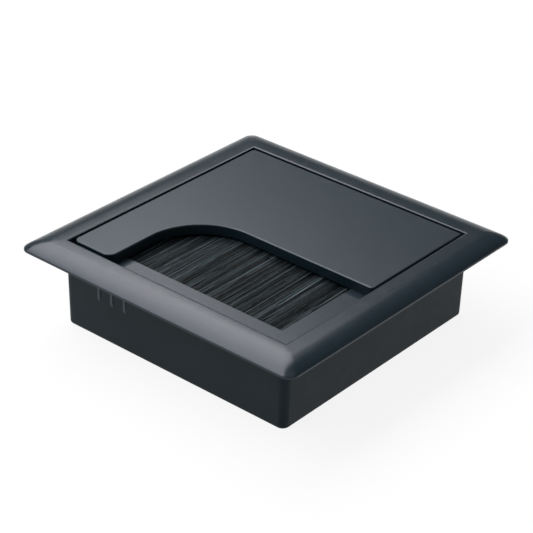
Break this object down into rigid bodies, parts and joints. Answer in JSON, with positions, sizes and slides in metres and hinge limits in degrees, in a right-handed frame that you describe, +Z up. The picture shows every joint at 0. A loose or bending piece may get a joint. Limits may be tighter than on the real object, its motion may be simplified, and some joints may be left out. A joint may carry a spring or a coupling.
{
  "type": "brush cable grommet",
  "caption": "Square desk grommet with a domed flange, a lift-out lid with a swept cable slot and a strip brush that closes the slot.",
  "frame": {"origin": "on the surface that the sleeve's foot stands on, under the middle of the square flange", "axes": "+Z up out of the desk, X along the brush, the open cable slot towards -Y with the lid's leg on its -X side"},
  "size_m": [0.096, 0.096, 0.026],
  "materials": {
    "frame_plastic": "fine satin grain",
    "lid_plastic": "fine satin grain",
    "channel_steel": "plain zinc-coated strip",
    "wire_steel": "drawn wire",
    "bristle_nylon": "black nylon filament"
  },
  "bodies": {
    "root": {"frame": "frame_plastic", "lid": "lid_plastic", "brush_channel": "channel_steel", "core_wire": "wire_steel", "bristles": "bristle_nylon"}
  },
  "joints": []
}
